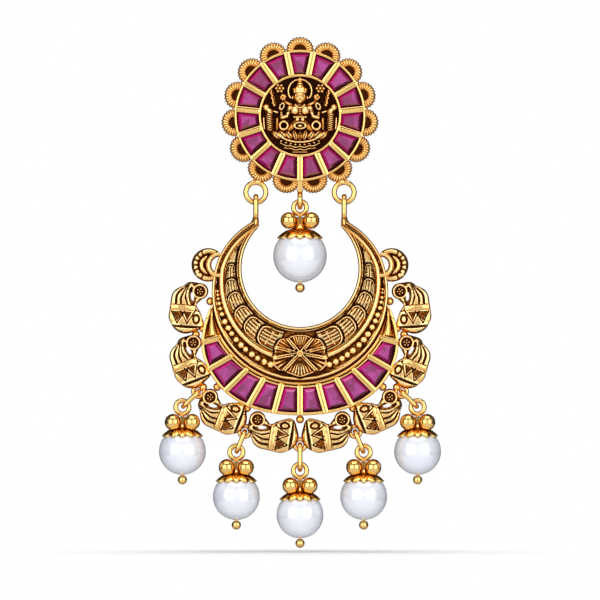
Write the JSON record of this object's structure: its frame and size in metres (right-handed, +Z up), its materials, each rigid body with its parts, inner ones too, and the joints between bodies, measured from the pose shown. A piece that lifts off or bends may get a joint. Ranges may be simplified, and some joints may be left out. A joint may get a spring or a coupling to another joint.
{
  "type": "chandbali earring",
  "caption": "Post earring: a round gem-set stud with a cast figure plaque, a crescent with a stone row and a pearl fringe that swings below it, and a pearl drop inside the crescent.",
  "frame": {"origin": "where the stud's pad rests on the front of the ear lobe, at the root of the post", "axes": "+Z up the hanging earring, +Y back through the ear along the post, X across the front"},
  "size_m": [0.0362, 0.0152, 0.0656],
  "materials": {
    "gold": "antique gold plating on cast brass",
    "ruby": "step-cut red stone",
    "pearl": "white pearl lustre"
  },
  "bodies": {
    "stud": {"medallion_frame": "gold", "figure_plaque": "gold", "ear_post": "gold", "ruby_ring_01": "ruby", "ruby_ring_02": "ruby", "ruby_ring_03": "ruby", "ruby_ring_04": "ruby", "ruby_ring_05": "ruby", "ruby_ring_06": "ruby", "ruby_ring_07": "ruby", "ruby_ring_08": "ruby", "ruby_ring_09": "ruby", "ruby_ring_10": "ruby", "ruby_ring_11": "ruby", "ruby_ring_12": "ruby", "ruby_ring_13": "ruby", "ruby_ring_14": "ruby", "ruby_ring_15": "ruby"},
    "crescent": {"crescent_frame": "gold", "ruby_row_01": "ruby", "ruby_row_02": "ruby", "ruby_row_03": "ruby", "ruby_row_04": "ruby", "ruby_row_05": "ruby", "ruby_row_06": "ruby", "ruby_row_07": "ruby", "ruby_row_08": "ruby", "ruby_row_09": "ruby", "ruby_row_10": "ruby", "link_1": "gold", "pin_1": "gold", "cap_1": "gold", "pearl_1": "pearl", "link_2": "gold", "pin_2": "gold", "cap_2": "gold", "pearl_2": "pearl", "link_3": "gold", "pin_3": "gold", "cap_3": "gold", "pearl_3": "pearl", "link_4": "gold", "pin_4": "gold", "cap_4": "gold", "pearl_4": "pearl", "link_5": "gold", "pin_5": "gold", "cap_5": "gold", "pearl_5": "pearl"},
    "centre_drop": {"centre_pin": "gold", "centre_cap": "gold", "centre_pearl": "pearl"}
  },
  "joints": [
    {"name": "crescent_swing", "type": "hinge", "parent": "stud", "child": "crescent", "pos_m": [0, -0.0013, -0.0111], "axis": [1, 0, 0], "range_deg": [-75, 75]},
    {"name": "centre_drop_swing", "type": "hinge", "parent": "stud", "child": "centre_drop", "pos_m": [0, -0.0013, -0.01097], "axis": [1, 0, 0], "range_deg": [-75, 75]}
  ]
}
